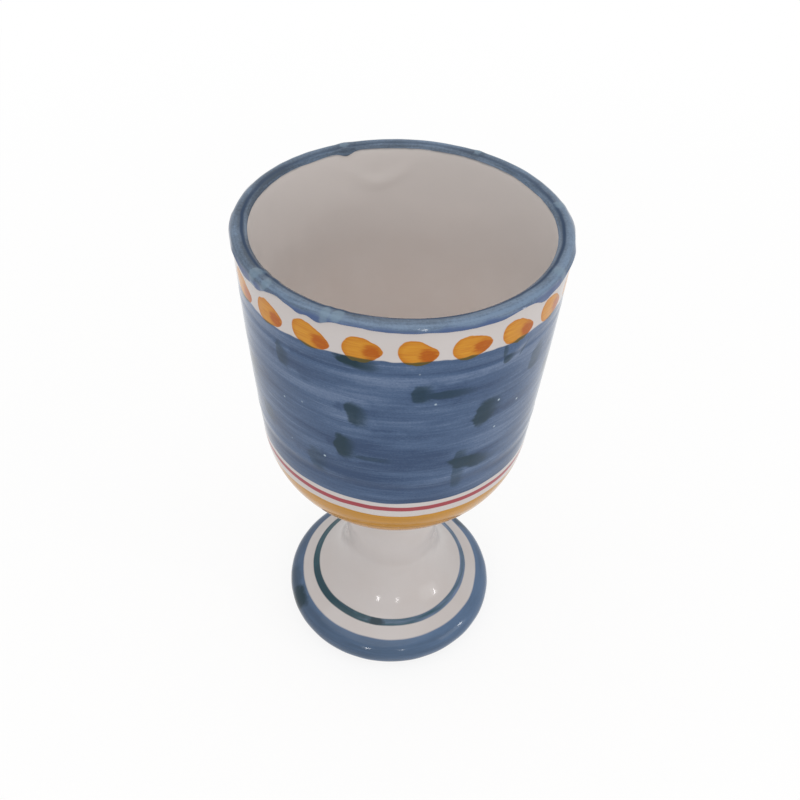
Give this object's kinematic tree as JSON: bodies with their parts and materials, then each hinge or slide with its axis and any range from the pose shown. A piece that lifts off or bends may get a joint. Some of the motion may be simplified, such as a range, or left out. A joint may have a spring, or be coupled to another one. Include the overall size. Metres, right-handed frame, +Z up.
{
  "type": "goblet",
  "caption": "Hand-painted glazed earthenware goblet: a deep round-bottomed bowl on a hollow flared pedestal, with painted bands and orange dabs under a thick blue lip.",
  "frame": {"origin": "centre of the foot, on the table", "axes": "+Z up along the goblet's axis; the side that the picture shows faces -Y"},
  "size_m": [0.09, 0.09, 0.16],
  "materials": {
    "bare_clay": "fired, unglazed",
    "slip": "fired, unglazed",
    "white_glaze": "gloss",
    "blue_glaze": "gloss, brushed",
    "green_glaze": "gloss, brushed",
    "red_glaze": "gloss, brushed",
    "ochre_glaze": "gloss, brushed",
    "orange_glaze": "gloss, brushed"
  },
  "bodies": {
    "root": {"bowl_body": "bare_clay", "pedestal_body": "bare_clay", "joint_coil": "bare_clay", "joint_slip": "slip", "foot_white_ring": "white_glaze", "stem_glaze": "white_glaze", "lower_white_stripe": "white_glaze", "upper_white_stripe": "white_glaze", "lining_glaze": "white_glaze", "dab_band_glaze": "white_glaze", "hollow_glaze": "white_glaze", "foot_edge_glaze": "blue_glaze", "body_glaze": "blue_glaze", "lip_glaze": "blue_glaze", "foot_green_ring": "green_glaze", "red_line": "red_glaze", "ochre_band": "ochre_glaze", "orange_dab_01": "orange_glaze", "orange_dab_02": "orange_glaze", "orange_dab_03": "orange_glaze", "orange_dab_04": "orange_glaze", "orange_dab_05": "orange_glaze", "orange_dab_06": "orange_glaze", "orange_dab_07": "orange_glaze", "orange_dab_08": "orange_glaze", "orange_dab_09": "orange_glaze", "orange_dab_10": "orange_glaze", "orange_dab_11": "orange_glaze", "orange_dab_12": "orange_glaze", "orange_dab_13": "orange_glaze", "orange_dab_14": "orange_glaze", "orange_dab_15": "orange_glaze", "orange_dab_16": "orange_glaze", "orange_dab_17": "orange_glaze", "orange_dab_18": "orange_glaze", "orange_dab_19": "orange_glaze", "orange_dab_20": "orange_glaze", "orange_dab_21": "orange_glaze"}
  },
  "joints": []
}
